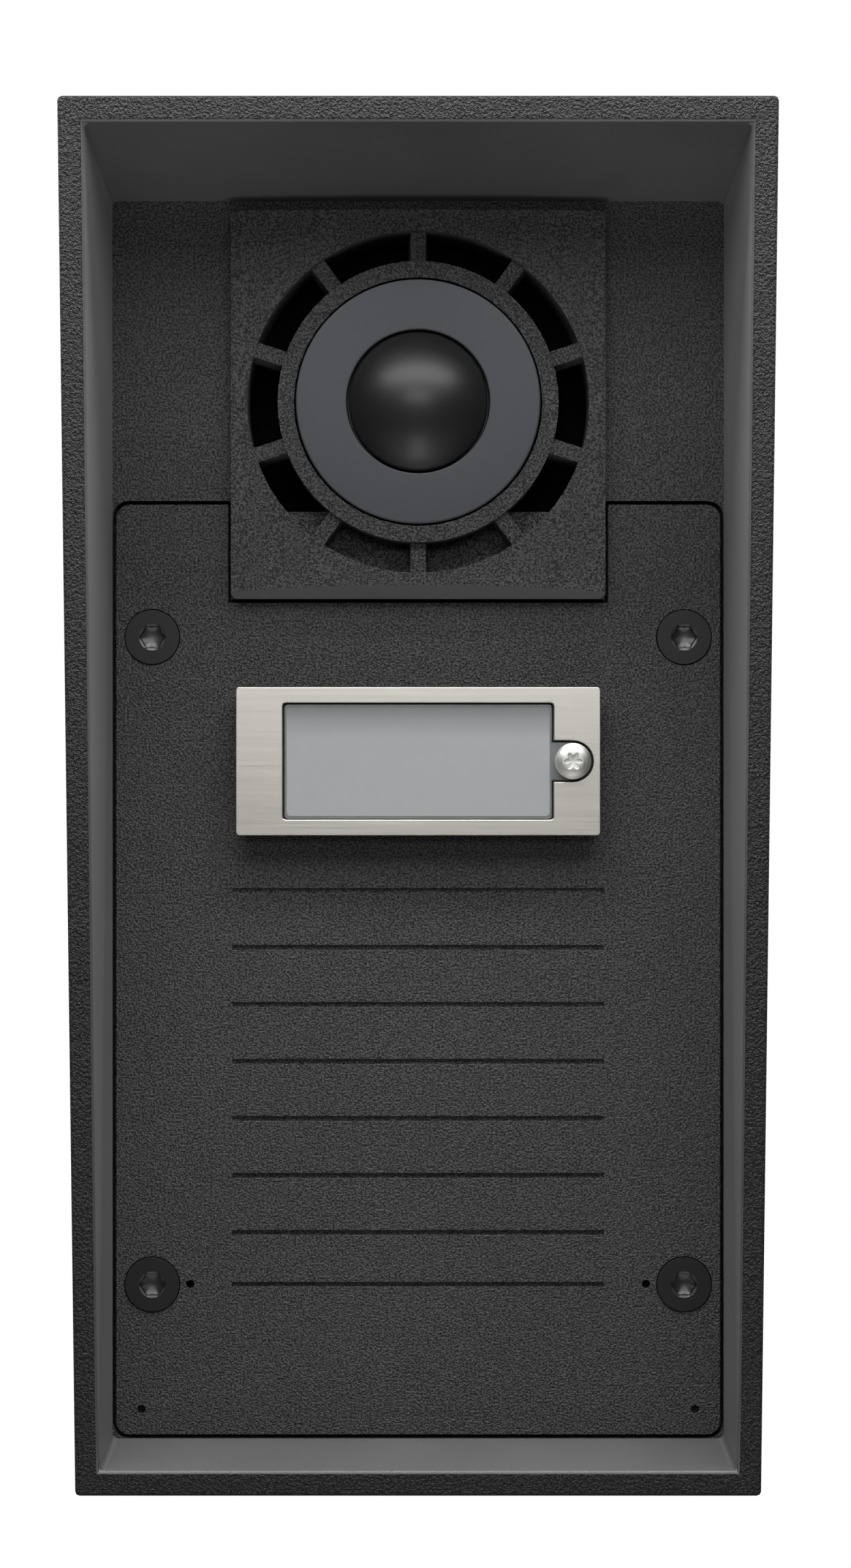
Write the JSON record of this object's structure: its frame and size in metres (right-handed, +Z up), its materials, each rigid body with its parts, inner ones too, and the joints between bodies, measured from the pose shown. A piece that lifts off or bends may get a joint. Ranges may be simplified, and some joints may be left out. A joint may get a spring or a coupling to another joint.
{
  "type": "door intercom panel",
  "caption": "Tall wall-mounted door intercom with a rain hood, a speaker ring round a camera dome, a lift-off cover and a steel name-plate call button.",
  "frame": {"origin": "centre of the back face, on the wall", "axes": "+Z up the wall, -Y out of the wall through the front, +X to the viewer's right"},
  "size_m": [0.109, 0.083, 0.217],
  "materials": {
    "housing_paint": "fine textured anthracite powder coat",
    "disc_paint": "smooth mid-grey paint",
    "black_screw": "smooth black passivated steel",
    "brushed_steel": "fine horizontal brushing",
    "zinc_steel": "bright zinc plate",
    "circuit_board": "green solder resist",
    "seal_rubber": "matt black rubber",
    "black_plastic": "moulded black plastic",
    "smoked_plastic": "smoked satin plastic",
    "clear_plastic": "clear plastic",
    "milky_plastic": "translucent milky plastic",
    "label_paper": "matt grey paper",
    "cone_fibre": "matt black fibre",
    "lens_glass": "coated glass"
  },
  "bodies": {
    "housing": {"housing_casting": "housing_paint", "back_plate": "zinc_steel", "back_gasket": "seal_rubber", "cable_grommet": "seal_rubber", "cover_gasket": "seal_rubber", "acoustic_mesh": "cone_fibre", "speaker_gasket": "seal_rubber", "speaker_basket": "black_plastic", "speaker_magnet": "zinc_steel", "trim_disc": "disc_paint", "dome_cover": "smoked_plastic", "dome_seal": "seal_rubber", "camera_cup": "black_plastic", "camera_board": "circuit_board", "lens_barrel": "black_plastic", "front_lens": "lens_glass", "main_board": "circuit_board", "processor": "black_plastic", "heat_sink": "zinc_steel", "network_jack": "zinc_steel", "terminal_block": "milky_plastic", "relay": "black_plastic", "back_plate_screw_1": "zinc_steel", "speaker_screw_1": "zinc_steel", "main_board_screw_1": "zinc_steel", "back_plate_screw_2": "zinc_steel", "speaker_screw_2": "zinc_steel", "main_board_screw_2": "zinc_steel", "back_plate_screw_3": "zinc_steel", "speaker_screw_3": "zinc_steel", "main_board_screw_3": "zinc_steel", "back_plate_screw_4": "zinc_steel", "speaker_screw_4": "zinc_steel", "main_board_screw_4": "zinc_steel"},
    "cover": {"front_cover": "housing_paint", "cover_screw_1": "black_screw", "cover_screw_2": "black_screw", "cover_screw_3": "black_screw", "cover_screw_4": "black_screw", "microphone_boot_right": "seal_rubber", "microphone_boot_left": "seal_rubber", "microphone_right": "zinc_steel", "microphone_left": "zinc_steel", "button_seal": "seal_rubber", "button_board": "circuit_board", "button_board_screw_1": "zinc_steel", "button_board_screw_2": "zinc_steel", "switch_body": "black_plastic", "backlight_left": "milky_plastic", "backlight_right": "milky_plastic"},
    "button": {"button_carrier": "milky_plastic", "name_plate": "brushed_steel", "name_label": "label_paper", "label_window": "clear_plastic", "label_screw": "brushed_steel", "return_spring_left": "zinc_steel", "return_spring_right": "zinc_steel"},
    "switch_plunger": {"switch_plunger": "milky_plastic"},
    "speaker_cone": {"speaker_cone": "cone_fibre", "speaker_surround": "seal_rubber"}
  },
  "joints": [
    {"name": "cover_lift", "type": "slide", "parent": "housing", "child": "cover", "axis": [0, -1, 0], "range_m": [0, 0.08]},
    {"name": "button_press", "type": "slide", "parent": "cover", "child": "button", "axis": [0, 1, 0], "range_m": [0, 0.0012], "stiffness_N_per_m": 1500, "springref_m": -0.0012, "deforming": ["return_spring_left", "return_spring_right"]},
    {"name": "switch_travel", "type": "slide", "parent": "cover", "child": "switch_plunger", "axis": [0, 1, 0], "range_m": [0, 0.0012]},
    {"name": "cone_travel", "type": "slide", "parent": "housing", "child": "speaker_cone", "axis": [0, -1, 0], "range_m": [-0.0005, 0.0005], "stiffness_N_per_m": 3000, "deforming": ["speaker_surround"]}
  ],
  "couplings": [
    {"joint": "switch_travel", "follows": "button_press", "ratio": 1}
  ]
}
